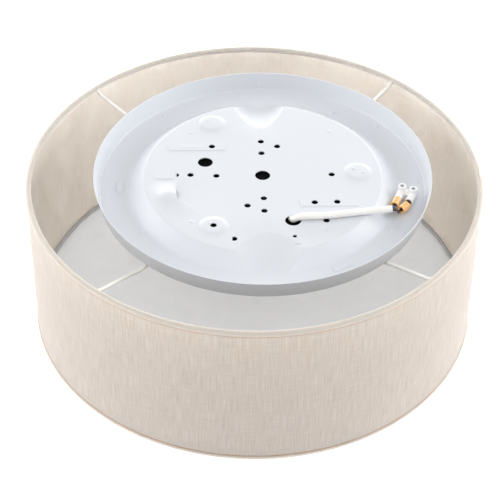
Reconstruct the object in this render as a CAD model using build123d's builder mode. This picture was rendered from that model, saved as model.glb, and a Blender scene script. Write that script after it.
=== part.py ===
from build123d import *
from math import asin, atan2, cos, degrees, hypot, pi, radians, sin, sqrt, tan
import os

# A flush mount ceiling light: a pressed steel pan that screws to the ceiling, a flat LED light
# source with its driver and inner cover under it, and a fabric drum shade on a wire frame that
# three thumb nuts hold to studs on the pan. A loose tray shaped diffuser closes the drum.
# The origin is the middle of the pan's centre hole, on the face towards the ceiling.
# +Z points up to the ceiling, and the supply cable lies towards +X.
# Lengths are in millimetres and angles in degrees.

os.makedirs("parts", exist_ok=True)

# ---- driving dimensions -------------------------------------------------------------------

# ceiling pan
sheet = 0.8                   # steel sheet
pan_diameter = 281.0          # outside edge of the rim
pan_depth = 16.0              # rim down to the gutter's floor
plateau_depth = 4.7           # rim down to the raised middle
wall_lean = 3.4               # the rim stands this far outside the wall's foot
wall_bend = 2.0               # inside radius between wall and floor
gutter_floor = 24.9           # flat width of the gutter
slope_width = 13.5            # from the gutter up to the plateau, seen in plan
slope_top_bend = 4.0
slope_foot_bend = 7.0
centre_hole = 12.7
cable_hole = 13.1
screw_hole = 5.4
outer_screw_spacing = 92.0    # pairs of ceiling screws either side of the centre hole
inner_screw_spacing = 60.0
boss_diameter = 24.5
boss_height = 1.5
boss_slope = 4.0              # width of its sloped edge, in plan
boss_bend = 6.0
pad_height = 0.5
pad_corner = 2.0
pip_radius = 1.8              # weld and rivet marks
pip_height = 0.7
gutter_pad = (5.6, 14.4)      # three raised pads in the gutter
gutter_pad_height = 1.0
gutter_pad_inset = 6.9        # their middles from the slope's foot
lance_hole = 3.6
dimple_diameter = 9.2         # half round mark beside the lance hole
dimple_depth = 1.0
flap_diameter = 19.5          # lanced mark, pressed up on one side of its slit, down on the other
flap_rise = 2.8
flap_dip = 1.5
flap_slit = 6.4               # slit from the mark's middle
flap_turn = 10.0

# bays: round troughs pressed into the plateau's edge, far from and near the cable
far_bay_radius = 33.6
far_bay_inset = 33.7          # where it starts, from the plateau's edge
far_bay_fall = 14.6
near_bay_radius = 60.0
near_bay_inset = 25.2
near_bay_fall = 18.0
near_bay_shift = 3.0

# fixing of the shade
stud_inset = 5.7              # studs from the slope's foot
stud_diameter = 4.0
stud_length = 12.0
washer_diameter = 11.0
washer_thickness = 1.0
nut_diameter = 13.0
nut_height = 7.0
nut_notches = 16

# shade
shade_diameter = 380.0        # over the rolled hems
shade_height = 141.0
shade_drop = 4.9              # the drum's top edge below the pan's rim
shade_offset = -6.8           # the soft drum hangs this far off the pan's centre, along X
cloth = 0.6
liner = 0.4
hem_bulge = 0.65              # the rolled hems stand proud of the cloth between them
hem_open = 0.9                # the top roll stops this far above its hoop, clear of the spokes
spoke_exit = 30.0             # spokes leave the top hoop this steeply
spoke_exit_run = 5.6
hoop_wire = 3.5
spoke_wire = 2.8
spoke_first_bend = 8.0
spoke_foot_bend = 12.0        # both bends of its foot on the inner ring
spoke_foot_length = 9.0       # level end, from the inner ring
spoke_foot_run = 20.0         # where it has risen by the next value, from the inner ring
spoke_foot_rise = 2.9
inner_wire = 3.5
inner_ring_inset = 11.0       # inner ring outside the stud circle
spoke_angles = (47.0, 137.0, 227.0, 317.0)
tab_thickness = 1.2
tab_width = 14.0
tab_overhang = 2.0            # past the inner ring

# diffuser
diffuser_sheet = 2.0
diffuser_rim = 5.2            # height of its upright edge, over all
diffuser_bend = 1.5

# light source
board_inset = 10.8            # board's edge inside the plateau's edge
board_thickness = 1.5
standoff_height = 7.0
standoff_diameter = 6.0
standoff_inset = 4.2          # from the board's edge
cover_screw = 3.0
cover_screw_length = 7.0
cover_screw_head = 5.5
cover_flange = 10.0
cover_wall = 1.5
cover_depth = 23.0
chip_length = 3.5
chip_width = 2.8
chip_height = 0.7
inner_chip_inset = 37.9       # two rings of LEDs, inside the board's edge
inner_chip_count = 16
outer_chip_inset = 19.9
outer_chip_count = 24
driver_length = 60.0
driver_width = 35.0
driver_height = 16.0
driver_wall = 1.5
inlet_length = 14.0
inlet_width = 12.0
inlet_height = 6.5
inlet_gap = 21.0              # from the inlet block to the cable hole

# supply cable and terminal block
cable_diameter = 5.6
core_diameter = 2.2
core_spread = 1.3             # each core from the cable's axis
core_reach = 4.0              # how far each core goes into its clamp
terminal_inset = 8.6          # middle of the towers from the slope's foot
terminal_angle = -8.3
terminal_turn = 66.6          # direction of the poles, from the entries to the towers
terminal_pitch = 9.6
pole_diameter = 6.8
pole_length = 15.2
pole_tail = 4.0               # past the tower's axis
web_length = 8.0
web_height = 1.0              # top of the web between the poles, above their axis
terminal_lift = 4.9           # poles' axis above the gutter's floor
tower_diameter = 6.4
tower_rise = 6.4              # above the poles' axis
tower_bore = 4.0
insert_diameter = 5.0
insert_length = 13.5
insert_bore = 3.0
terminal_screw = 3.0
screw_length = 5.4
collar_diameter = 7.2
collar_length = 8.5
collar_bore = 3.4
collar_funnel = 1.0           # chamfer round the mouth of each collar
collar_pulls = (0.2, 4.0)     # how far each entry collar stands off the block
collar_swings = (0.0, -20.0)  # how far each one hangs askew, about Z

# clearances
seat = 0.05                   # between pieces that lie on each other
turning_gap = 0.1             # radial, between a thread and what turns on it
plain_gap = 0.25              # radial, round a stud or a screw in a plain hole
cloth_gap = 0.2               # between cloth, wire and liner
rest_gap = 0.3                # under the loose diffuser

# ---- levels and radii worked out from them ------------------------------------------------

plateau_z = 0.0
rim_z = plateau_z + plateau_depth
floor_z = rim_z - pan_depth
plateau_under_z = plateau_z - sheet
floor_under_z = floor_z - sheet

pan_radius = pan_diameter / 2
wall_foot_radius = pan_radius - wall_lean
slope_foot_radius = wall_foot_radius - gutter_floor
plateau_radius = slope_foot_radius - slope_width
slope_angle = degrees(atan2(plateau_z - floor_z, slope_width))
stud_circle = slope_foot_radius + stud_inset
gutter_pad_circle = slope_foot_radius + gutter_pad_inset

tab_top_z = floor_under_z - seat
tab_under_z = tab_top_z - tab_thickness
inner_ring_radius = stud_circle + inner_ring_inset
inner_ring_z = tab_under_z - inner_wire / 2
washer_top_z = tab_under_z - seat
nut_top_z = washer_top_z - washer_thickness - seat

shade_top_z = rim_z - shade_drop
shade_bottom_z = shade_top_z - shade_height
roll_radius = hoop_wire / 2 + cloth_gap + cloth
hoop_radius = shade_diameter / 2 - roll_radius
top_hoop_z = shade_top_z - roll_radius
bottom_hoop_z = shade_bottom_z + roll_radius
cloth_radius = shade_diameter / 2 - hem_bulge
liner_radius = cloth_radius - cloth - cloth_gap

board_radius = plateau_radius - board_inset
standoff_circle = board_radius - standoff_inset
board_top_z = plateau_under_z - standoff_height
board_under_z = board_top_z - board_thickness
cover_top_z = board_under_z - seat

ABOVE = (Align.CENTER, Align.CENTER, Align.MIN)


def write(piece, name):
    """Name a finished piece and write it as parts/name.step."""
    piece.part.label = name
    export_step(piece.part, f"parts/{name}.step")


def polar(radius, angle):
    """A point in plan, from the pan's centre."""
    return radius * cos(radians(angle)), radius * sin(radians(angle))


# ---- ceiling pan --------------------------------------------------------------------------
# One pressing: a plateau for the ceiling screws, a gutter round it for the wiring, and a steep
# wall up to the rim. A surface and the underside below it are made as two blocks, one taken
# from the other, so that every form shows on both sides of the sheet as a pressed one does.

middle_radius = slope_foot_radius + slope_foot_bend     # where the two parts of the pan meet
block_depth = 40.0
layout = plateau_radius / 98.7     # the places on the plateau are those of a 98.7 mm radius


def laid_out(*places):
    """Places on the plateau, which keep their layout when the pan changes size."""
    return [(layout * x, layout * y) for x, y in places]


boss_places = laid_out((79.7, 2.8), (-41.4, 71.2), (-41.6, -65.2))
pads = (
    ((-54.4, 38.6), 48.6, 9.0),
    ((-81.7, 1.5), 16.3, 11.0),
    ((53.6, -36.0), 48.3, 11.0),
)
cable_hole_place = laid_out((22.8, -58.6))[0]
wire_hole_place = laid_out((-47.6, 18.3))[0]
lance_place = laid_out((23.2, -78.1))[0]
dimple_place = laid_out((23.3, -87.0))[0]
flap_place = laid_out((-78.0, -25.4))[0]
standoff_angles = (45.0, 135.0, 225.0, 315.0)
stud_angles = (90.0, 210.0, 330.0)
mark_circle = wall_foot_radius - 7.1
plateau_pips = [polar(standoff_circle, angle) for angle in standoff_angles]
plateau_pips += laid_out((49.4, -72.0), (-60.4, 39.0))
boss_pips = [(x + 4.5, y - 2.0) for x, y in boss_places[:1]]
boss_pips += [(x - 3.3, y + 2.8) for x, y in boss_places]
gutter_pips = [polar(stud_circle, angle) for angle in stud_angles]
gutter_pips += [polar(mark_circle, angle) for angle in (1.0, 38.0, 119.0, 130.0)]
screw_holes = [
    (0, side * spacing / 2) for spacing in (outer_screw_spacing, inner_screw_spacing) for side in (1, -1)]
screw_holes += laid_out(
    (13.6, 39.2), (-13.6, -39.2), (-41.8, 39.2), (-60.0, 1.5), (-38.5, 0.0), (57.6, 0.3),
    (41.4, -36.4), (59.9, -36.0), (49.7, -59.0))
screw_holes += [boss_places[2]]
part_holes = (((-72.1, 1.4), 0.4), ((-25.4, -80.4), 0.75))     # knockouts and their open share


def pressed_block(drop):
    """The pan's middle as a block under its top face (drop 0) or under the sheet (drop sheet)."""
    miter = drop * tan(radians(slope_angle / 2))
    top, foot = plateau_z - drop, floor_z - drop
    deep = -block_depth - drop
    with BuildPart() as block:
        with BuildSketch(Plane.XZ):
            with BuildLine():
                Polyline(
                    (0, top), (plateau_radius - miter, top), (slope_foot_radius - miter, foot),
                    (middle_radius + drop, foot), (middle_radius + drop, deep), (0, deep), (0, top))
            make_face()
        revolve(axis=Axis.Z)
        for turn, radius, inset, fall, shift in (
            (90, far_bay_radius, far_bay_inset, far_bay_fall, 0),
            (270, near_bay_radius, near_bay_inset, near_bay_fall, near_bay_shift),
        ):
            outwards = Location((0, 0, 0), (0, 0, turn))
            bay = outwards * Location((plateau_radius - inset, shift, plateau_z), (0, 90 + fall, 0))
            trough = bay * Location((-radius, 0, 0)) * Cylinder(
                radius + drop, 4 * slope_foot_radius, mode=Mode.PRIVATE)
            room = Location((0, 0, foot)) * Box(
                3 * pan_radius, 3 * pan_radius, 4 * block_depth, align=ABOVE, mode=Mode.PRIVATE)
            side = outwards * Box(
                2 * pan_radius, 2 * pan_radius, 6 * block_depth,
                align=(Align.MIN, Align.CENTER, Align.CENTER), mode=Mode.PRIVATE)
            add(trough & room & side, mode=Mode.SUBTRACT)
        # the press leaves no sharp bend: plateau and bay edges, then the foot of slope and bays
        pressed = block.edges().filter_by(
            lambda edge: hypot((edge @ 0.5).X, (edge @ 0.5).Y) < middle_radius - 1
            and (edge @ 0.5).Z > foot - 1)
        fillet(pressed.filter_by(lambda edge: (edge @ 0.5).Z > foot + 0.01), slope_top_bend - drop)
        at_foot = block.edges().filter_by(
            lambda edge: hypot((edge @ 0.5).X, (edge @ 0.5).Y) < middle_radius - 1
            and abs((edge @ 0.5).Z - foot) < 0.01)
        fillet(at_foot, slope_foot_bend + drop)
        # screw bosses with soft edges
        with Locations(*[(x, y, top) for x, y in boss_places]):
            Cone(boss_diameter / 2, boss_diameter / 2 - boss_slope, boss_height, align=ABOVE)
        for size, level, bend in (
            (boss_diameter / 2 - boss_slope, top + boss_height, boss_bend - drop),
            (boss_diameter / 2, top, boss_bend + drop),
        ):
            fillet(block.edges().filter_by(GeomType.CIRCLE).filter_by(
                lambda edge: abs(edge.radius - size) < 0.01 and abs((edge @ 0.5).Z - level) < 0.01), bend)
        # bearing pads
        with BuildSketch(Plane.XY.offset(top)):
            for place, length, width in pads:
                with Locations(*laid_out(place)):
                    RectangleRounded(length, width, pad_corner)
        extrude(amount=pad_height, taper=30)
        # lanced mark: a low dome up to the slit, and a dip past it
        dome = (flap_diameter ** 2 / 4 + flap_rise ** 2) / (2 * flap_rise)
        dip = (flap_diameter ** 2 / 4 + flap_dip ** 2) / (2 * flap_dip)
        mark = Location((*flap_place, plateau_z), (0, 0, flap_turn))
        for ball, height, reach, mode in (
            (dome - drop, flap_rise - dome, Align.MAX, Mode.ADD),
            (dip + drop, dip - flap_dip, Align.MIN, Mode.SUBTRACT),
        ):
            beside_slit = Location((flap_slit, 0, 0)) * Box(
                3 * flap_diameter, 3 * flap_diameter, 3 * flap_diameter,
                align=(reach, Align.CENTER, Align.CENTER), mode=Mode.PRIVATE)
            cap = Location((0, 0, height)) * Sphere(ball, mode=Mode.PRIVATE)
            add(mark * (cap & beside_slit), mode=mode)
        # half round mark beside the lance hole
        dimple = (dimple_diameter ** 2 / 4 + dimple_depth ** 2) / (2 * dimple_depth)
        near_half = Box(
            2 * dimple_diameter, 2 * dimple_diameter, 2 * dimple_diameter,
            align=(Align.CENTER, Align.MAX, Align.CENTER), mode=Mode.PRIVATE)
        hollow = Location((0, 0, dimple - dimple_depth)) * Sphere(dimple + drop, mode=Mode.PRIVATE)
        add(Location((*dimple_place, plateau_z)) * (hollow & near_half), mode=Mode.SUBTRACT)
    return block.part


def pip():
    """A low round mark that stands up from the sheet."""
    ball = (pip_radius ** 2 + pip_height ** 2) / (2 * pip_height)
    low = asin((ball - pip_height) / ball)
    return Sphere(ball, arc_size1=degrees(low), align=ABOVE, mode=Mode.PRIVATE)


with BuildPart() as ceiling_pan:
    add(pressed_block(0) - pressed_block(sheet))
    # gutter floor, wall and rim
    with BuildSketch(Plane.XZ):
        with BuildLine():
            lean = wall_lean / pan_depth
            FilletPolyline(
                (middle_radius, floor_z), (wall_foot_radius - sheet, floor_z), (pan_radius - sheet, rim_z),
                radius=wall_bend)
            Line((pan_radius - sheet, rim_z), (pan_radius, rim_z))
            FilletPolyline(
                (pan_radius, rim_z), (wall_foot_radius - lean * sheet, floor_under_z),
                (middle_radius, floor_under_z), radius=wall_bend + sheet)
            Line((middle_radius, floor_under_z), (middle_radius, floor_z))
        make_face()
    revolve(axis=Axis.Z)
    # weld and rivet marks on plateau, bosses, gutter and wall
    for x, y in plateau_pips:
        add(Location((x, y, plateau_z)) * pip())
    for x, y in boss_pips:
        add(Location((x, y, plateau_z + boss_height)) * pip())
    for x, y in gutter_pips:
        add(Location((x, y, floor_z)) * pip())
    wall_mark_height = 0.3 * pan_depth
    wall_angle = degrees(atan2(pan_depth, wall_lean))
    add(Location((0, wall_foot_radius - sheet + lean * wall_mark_height, floor_z + wall_mark_height),
                 (wall_angle, 0, 0)) * pip())
    # raised pads in the gutter, hollow below as pressed ones are
    for level, shrink, mode in ((floor_z, 0, Mode.ADD), (floor_under_z, sheet, Mode.SUBTRACT)):
        with BuildSketch(Plane.XY.offset(level)):
            with PolarLocations(gutter_pad_circle, 3, start_angle=60):
                RectangleRounded(gutter_pad[0] - shrink, gutter_pad[1] - shrink, pad_corner / 2)
        extrude(amount=gutter_pad_height, taper=20, mode=mode)
    # round holes and half open knockouts
    with BuildSketch(Plane.XY.offset(rim_z)):
        Circle(centre_hole / 2)
        with Locations(cable_hole_place):
            Circle(cable_hole / 2)
        with Locations(wire_hole_place):
            Circle(centre_hole / 2)
        with Locations(*screw_holes):
            Circle(screw_hole / 2)
        with Locations(lance_place):
            Circle(lance_hole / 2)
        for place, share in part_holes:
            closed = Location((-screw_hole / 2, 0)) * Rectangle(
                (1 - share) * screw_hole, screw_hole, align=(Align.MIN, Align.CENTER), mode=Mode.PRIVATE)
            opened = Circle(screw_hole / 2, mode=Mode.PRIVATE) - closed
            with Locations(*laid_out(place)):
                add(opened)
    extrude(amount=-2 * pan_depth, mode=Mode.SUBTRACT)
write(ceiling_pan, "ceiling_pan")

# ---- fixing studs -------------------------------------------------------------------------
# Three threaded studs welded under the gutter.

with BuildPart() as fixing_studs:
    with BuildSketch(Plane.XY.offset(floor_under_z)):
        with PolarLocations(stud_circle, 3, start_angle=stud_angles[0]):
            Circle(stud_diameter / 2)
    extrude(amount=-stud_length)
    chamfer(fixing_studs.edges().group_by(Axis.Z)[0], 0.5)
write(fixing_studs, "fixing_studs")

# ---- light source -------------------------------------------------------------------------
# A round aluminium board on four standoffs, with two rings of LEDs, the driver in its middle
# and an opal inner cover over both.

with BuildPart() as led_standoffs:
    with BuildSketch(Plane.XY.offset(plateau_under_z)):
        with PolarLocations(standoff_circle, 4, start_angle=standoff_angles[0]):
            Circle(standoff_diameter / 2)
            Circle(cover_screw / 2 + turning_gap, mode=Mode.SUBTRACT)
    extrude(amount=-standoff_height + seat)
write(led_standoffs, "led_standoffs")

with BuildPart() as led_board:
    with BuildSketch(Plane.XY.offset(board_under_z)):
        Circle(board_radius)
        with PolarLocations(standoff_circle, 4, start_angle=standoff_angles[0]):
            Circle(cover_screw / 2 + plain_gap, mode=Mode.SUBTRACT)
    extrude(amount=board_thickness)
write(led_board, "led_board")

with BuildPart() as led_chips:
    with BuildSketch(Plane.XY.offset(board_under_z)):
        for inset, count in ((inner_chip_inset, inner_chip_count), (outer_chip_inset, outer_chip_count)):
            with PolarLocations(board_radius - inset, count, start_angle=180 / count):
                Rectangle(chip_length, chip_width)
    extrude(amount=-chip_height)
write(led_chips, "led_chips")

driver_under_z = board_under_z - seat - driver_height
with BuildPart() as driver_case:
    with BuildSketch(Plane.XY.offset(board_under_z - seat)):
        RectangleRounded(driver_length, driver_width, 3.0)
    extrude(amount=-driver_height + driver_wall + seat)
    with BuildSketch(Plane.XY.offset(driver_under_z)):
        RectangleRounded(driver_length - 2 * driver_wall, driver_width - 2 * driver_wall, 3.0 - driver_wall)
    extrude(amount=driver_height - driver_wall, mode=Mode.SUBTRACT)
write(driver_case, "driver_case")

with BuildPart() as driver_lid:
    with BuildSketch(Plane.XY.offset(driver_under_z)):
        RectangleRounded(driver_length, driver_width, 3.0)
    extrude(amount=driver_wall)
    with BuildSketch(Plane.XY.offset(driver_under_z + driver_wall)):
        lip = driver_wall + plain_gap
        RectangleRounded(driver_length - 2 * lip, driver_width - 2 * lip, 1.0)
        Rectangle(driver_length - 4 * driver_wall, driver_width - 4 * driver_wall, mode=Mode.SUBTRACT)
    extrude(amount=driver_wall)
write(driver_lid, "driver_lid")

cover_bottom_z = cover_top_z - cover_depth
with BuildPart() as light_cover:
    with BuildSketch(Plane.XZ):
        with BuildLine():
            inside = board_radius - cover_flange
            FilletPolyline(
                (0, cover_bottom_z), (inside - 8, cover_bottom_z), (inside, cover_top_z - cover_wall),
                (board_radius, cover_top_z - cover_wall), radius=[6.0, 1.0])
            Line((board_radius, cover_top_z - cover_wall), (board_radius, cover_top_z))
            FilletPolyline(
                (board_radius, cover_top_z), (inside - cover_wall, cover_top_z),
                (inside - 8 - cover_wall / 2, cover_bottom_z + cover_wall), (0, cover_bottom_z + cover_wall),
                radius=[2.0, 6.0 - cover_wall])
            Line((0, cover_bottom_z + cover_wall), (0, cover_bottom_z))
        make_face()
    revolve(axis=Axis.Z)
    with BuildSketch(Plane.XY.offset(cover_top_z)):
        with PolarLocations(standoff_circle, 4, start_angle=standoff_angles[0]):
            Circle(cover_screw / 2 + plain_gap)
    extrude(amount=-cover_wall, mode=Mode.SUBTRACT)
write(light_cover, "light_cover")

screw_seat_z = cover_top_z - cover_wall - seat
with BuildPart() as cover_screws:
    with BuildSketch(Plane.XY.offset(screw_seat_z)):
        with PolarLocations(standoff_circle, 4, start_angle=standoff_angles[0]):
            Circle(cover_screw / 2)
    extrude(amount=cover_screw_length)
    with BuildSketch(Plane.XY.offset(screw_seat_z)):
        with PolarLocations(standoff_circle, 4, start_angle=standoff_angles[0]):
            Circle(cover_screw_head / 2)
    extrude(amount=-0.4 * cover_screw_head)
    with BuildSketch(Plane.XY.offset(screw_seat_z - 0.4 * cover_screw_head)):
        with PolarLocations(standoff_circle, 4, start_angle=standoff_angles[0]):
            Rectangle(0.7 * cover_screw_head, 0.2 * cover_screw_head)
            Rectangle(0.2 * cover_screw_head, 0.7 * cover_screw_head)
    extrude(amount=0.2 * cover_screw_head, mode=Mode.SUBTRACT)
write(cover_screws, "cover_screws")

inlet_front = cable_hole_place[1] + inlet_gap
with BuildPart() as supply_inlet:
    with BuildSketch(Plane.XY.offset(board_top_z)):
        with Locations((cable_hole_place[0] - 2.3, inlet_front)):
            Rectangle(inlet_width, inlet_length, align=(Align.CENTER, Align.MIN))
    extrude(amount=inlet_height)
    chamfer(supply_inlet.edges().filter_by(Axis.Z), 1.0)
write(supply_inlet, "supply_inlet")

# ---- terminal block -----------------------------------------------------------------------
# A two pole screw block that lies in the gutter. Its own X runs along the poles, from the wire
# entries to the screw towers, and its Z is up.

pole_axis_z = floor_z + terminal_lift
block_plane = Plane(
    origin=(*polar(slope_foot_radius + terminal_inset, terminal_angle), pole_axis_z),
    x_dir=(cos(radians(terminal_turn)), sin(radians(terminal_turn)), 0), z_dir=(0, 0, 1))
pole_sides = (terminal_pitch / 2, -terminal_pitch / 2)
pole_front = pole_tail - pole_length


def pole_plane(along, side):
    """A plane square to a pole, at a distance along it, looking towards the tower's end."""
    return Plane(origin=block_plane.from_local_coords((along, side, 0)), z_dir=block_plane.x_dir)


def collar_plane(side, pull, swing):
    """The plane of a collar's end at the block, looking out along the collar to its mouth."""
    way = block_plane.x_dir.rotate(Axis.Z, swing)
    return Plane(origin=block_plane.from_local_coords((pole_front - pull, side, 0)), z_dir=-way)


with BuildPart() as terminal_body:
    with BuildSketch(block_plane.offset(seat - terminal_lift)):
        with Locations((pole_tail - seat, 0)):
            Rectangle(web_length, terminal_pitch, align=(Align.MAX, Align.CENTER))
    extrude(amount=terminal_lift + web_height)
    for side in pole_sides:
        with BuildSketch(pole_plane(pole_front, side)):
            Circle(pole_diameter / 2)
        extrude(amount=pole_length)
    with BuildSketch(block_plane):
        with Locations(*[(0, side) for side in pole_sides]):
            Circle(tower_diameter / 2)
    extrude(amount=tower_rise)
    for side in pole_sides:
        with BuildSketch(pole_plane(pole_front, side)):
            Circle(insert_diameter / 2 + seat)
        extrude(amount=insert_length + plain_gap, mode=Mode.SUBTRACT)
    with BuildSketch(block_plane):
        with Locations(*[(0, side) for side in pole_sides]):
            Circle(tower_bore / 2)
    extrude(amount=tower_rise, mode=Mode.SUBTRACT)
write(terminal_body, "terminal_body")

with BuildPart() as terminal_inserts:
    for side in pole_sides:
        with BuildSketch(pole_plane(pole_front, side)):
            Circle(insert_diameter / 2)
            Circle(insert_bore / 2, mode=Mode.SUBTRACT)
        extrude(amount=insert_length)
    with BuildSketch(block_plane):
        with Locations(*[(0, side) for side in pole_sides]):
            Circle(terminal_screw / 2 + turning_gap)
    extrude(amount=insert_diameter, mode=Mode.SUBTRACT)
write(terminal_inserts, "terminal_inserts")

with BuildPart() as collar:
    with BuildSketch():
        Circle(collar_diameter / 2)
        Circle(collar_bore / 2, mode=Mode.SUBTRACT)
    extrude(amount=collar_length)
    mouth = collar.edges().filter_by(GeomType.CIRCLE).group_by(SortBy.RADIUS)[0].sort_by(Axis.Z)[-1]
    chamfer(mouth, collar_funnel)

with BuildPart() as wire_entries:
    for side, pull, swing in zip(pole_sides, collar_pulls, collar_swings):
        add(collar_plane(side, pull, swing).location * collar.part)
write(wire_entries, "wire_entries")

for number, side in enumerate(pole_sides, start=1):
    with BuildPart() as screw:
        top = tower_rise - 1.0
        with BuildSketch(block_plane.offset(top - screw_length)):
            with Locations((0, side)):
                Circle(terminal_screw / 2)
        extrude(amount=screw_length)
        with BuildSketch(block_plane.offset(top)):
            with Locations((0, side)):
                Circle(tower_bore / 2 - turning_gap)
        extrude(amount=-1.2)
        with BuildSketch(block_plane.offset(top)):
            with Locations((0, side)):
                Rectangle(tower_bore, 0.7, rotation=30)
        extrude(amount=-0.8, mode=Mode.SUBTRACT)
    write(screw, f"terminal_screw_{number}")

# ---- supply cable -------------------------------------------------------------------------
# A round two core cable from the board's inlet up through the cable hole and over the plateau,
# and its two bare cores down to the terminal block. The bends at the hole and at the end of
# the sheath are tight, because the cable meets a surface there.

low_z = board_top_z + 0.6 + cable_diameter / 2
lie_z = plateau_z + 0.2 + cable_diameter / 2
hole_x, hole_y = cable_hole_place
cable_points = [
    (hole_x - 2.3, inlet_front - seat, low_z),
    (hole_x - 2.3, hole_y + 3.4, low_z),
    (hole_x + 4.7, hole_y + 0.8, lie_z + 0.6),
    (hole_x + 22.8, hole_y + 1.3, lie_z),
    (hole_x + 38.7, hole_y + 3.5, lie_z),
    (hole_x + 51.4, hole_y + 5.6, lie_z),
    (*polar(slope_foot_radius - 9.2, -29.75), lie_z),
    (*polar(slope_foot_radius + 2.2, -25.35), lie_z),
]


def tube(points, diameter, name):
    """A cord along straight runs joined by arcs as large as the runs allow."""
    corners = [Vector(*point) for point in points]
    runs = [b - a for a, b in zip(corners, corners[1:])]
    radii = []
    for before, after in zip(runs, runs[1:]):
        turn = radians(before.get_angle(after))
        radii.append(0.45 * min(before.length, after.length) / tan(turn / 2))
    with BuildPart() as cord:
        with BuildLine() as path:
            FilletPolyline(*points, radius=radii)
        with BuildSketch(Plane(origin=corners[0], z_dir=runs[0])):
            Circle(diameter / 2)
        sweep()
    length = sum(edge.length for edge in path.edges())
    share = cord.part.volume / (pi * diameter ** 2 / 4 * length)
    print(f"{name}: length {length:.1f}, volume share {share:.4f}, radii", [round(r, 1) for r in radii])
    return cord


write(tube(cable_points, cable_diameter, "mains_cable"), "mains_cable")

sheath_end = Vector(*cable_points[-1])
sheath_way = (sheath_end - Vector(*cable_points[-2])).normalized()
sheath_left = Vector(0, 0, 1).cross(sheath_way)


def core_end(side):
    """Where a core ends, in its pole's clamp."""
    return tuple(block_plane.from_local_coords((pole_front + core_reach, side, 0)))


def in_collar(side, pull, swing, along):
    """A point on a collar's axis, a distance from its end at the block."""
    return tuple(collar_plane(side, pull, swing).from_local_coords((0, 0, along)))


blue_collar, brown_collar = zip(pole_sides, collar_pulls, collar_swings)
blue_start = sheath_end + sheath_left * core_spread + sheath_way * seat
brown_start = sheath_end - sheath_left * core_spread + sheath_way * seat
blue_points = [
    tuple(blue_start),
    tuple(blue_start + sheath_way * 3.4),
    tuple(blue_start + sheath_way * 4.4 + Vector(0, 4.2, -6.4)),
    in_collar(*blue_collar, collar_length + 3.4),
    core_end(pole_sides[0]),
]
brown_points = [
    tuple(brown_start),
    tuple(brown_start + sheath_way * 3.8),
    tuple(brown_start + sheath_way * 5.8 + Vector(0, 3.6, -6.8)),
    in_collar(*brown_collar, collar_length + 2.6),
    in_collar(*brown_collar, 0),
    core_end(pole_sides[1]),
]
write(tube(blue_points, core_diameter, "blue_core"), "blue_core")
write(tube(brown_points, core_diameter, "brown_core"), "brown_core")

# ---- shade --------------------------------------------------------------------------------
# Cloth laminated on a clear liner, its edges rolled round two wire hoops. Four bent spokes run
# from the top hoop to an inner ring, whose three tabs lie under the pan on its studs.

shade_axis = Axis((shade_offset, 0, 0), (0, 0, 1))
shade_middle = Plane.XZ.move(Location((shade_offset, 0, 0)))

with BuildPart() as shade_fabric:
    with BuildSketch(shade_middle):
        with Locations((cloth_radius - cloth / 2, (top_hoop_z + bottom_hoop_z) / 2)):
            Rectangle(cloth, top_hoop_z - bottom_hoop_z)
        with Locations((hoop_radius, top_hoop_z), (hoop_radius, bottom_hoop_z)):
            Circle(roll_radius)
            Circle(roll_radius - cloth, mode=Mode.SUBTRACT)
        with Locations((hoop_radius, top_hoop_z + hem_open)):
            Rectangle(
                roll_radius, roll_radius + hem_open, align=(Align.MAX, Align.MAX), mode=Mode.SUBTRACT)
    revolve(axis=shade_axis)
write(shade_fabric, "shade_fabric")

with BuildPart() as shade_liner:
    with BuildSketch(shade_middle):
        liner_height = top_hoop_z - bottom_hoop_z - 2 * (roll_radius + cloth_gap)
        with Locations((liner_radius - liner / 2, (top_hoop_z + bottom_hoop_z) / 2)):
            Rectangle(liner, liner_height)
    revolve(axis=shade_axis)
write(shade_liner, "shade_liner")

for name, hoop_z in (("top_ring", top_hoop_z), ("bottom_ring", bottom_hoop_z)):
    with BuildPart() as hoop:
        with BuildSketch(shade_middle):
            with Locations((hoop_radius, hoop_z)):
                Circle(hoop_wire / 2)
        revolve(axis=shade_axis)
    write(hoop, name)

with BuildPart() as inner_ring:
    with BuildSketch(Plane.XZ):
        with Locations((inner_ring_radius, inner_ring_z)):
            Circle(inner_wire / 2)
    revolve(axis=Axis.Z)
write(inner_ring, "inner_ring")


def along_spoke(radius, angle, z):
    """A point on a spoke, at a radius from the drum's centre."""
    x, y = polar(radius, angle)
    return x + shade_offset, y, z


def spoke_inner_radius(angle):
    """Where a spoke meets the inner ring, whose centre is the pan's."""
    reach = inner_ring_radius + inner_wire / 2 + seat
    lead = shade_offset * cos(radians(angle))
    return -lead + sqrt(lead ** 2 - shade_offset ** 2 + reach ** 2)


with BuildPart() as spider_spokes:
    for angle in spoke_angles:
        start = hoop_wire / 2 + seat
        bend = start + spoke_exit_run
        inward, down = cos(radians(spoke_exit)), sin(radians(spoke_exit))
        points = [
            along_spoke(hoop_radius - start * inward, angle, top_hoop_z - start * down),
            along_spoke(hoop_radius - bend * inward, angle, top_hoop_z - bend * down),
            along_spoke(inner_ring_radius + spoke_foot_run, angle, inner_ring_z + spoke_foot_rise),
            along_spoke(inner_ring_radius + spoke_foot_length, angle, inner_ring_z),
            along_spoke(spoke_inner_radius(angle), angle, inner_ring_z),
        ]
        with BuildLine() as path:
            FilletPolyline(*points, radius=[spoke_first_bend, spoke_foot_bend, spoke_foot_bend])
        with BuildSketch(Plane(origin=points[0], z_dir=Vector(*points[1]) - Vector(*points[0]))):
            Circle(spoke_wire / 2)
        sweep()
write(spider_spokes, "spider_spokes")

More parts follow.
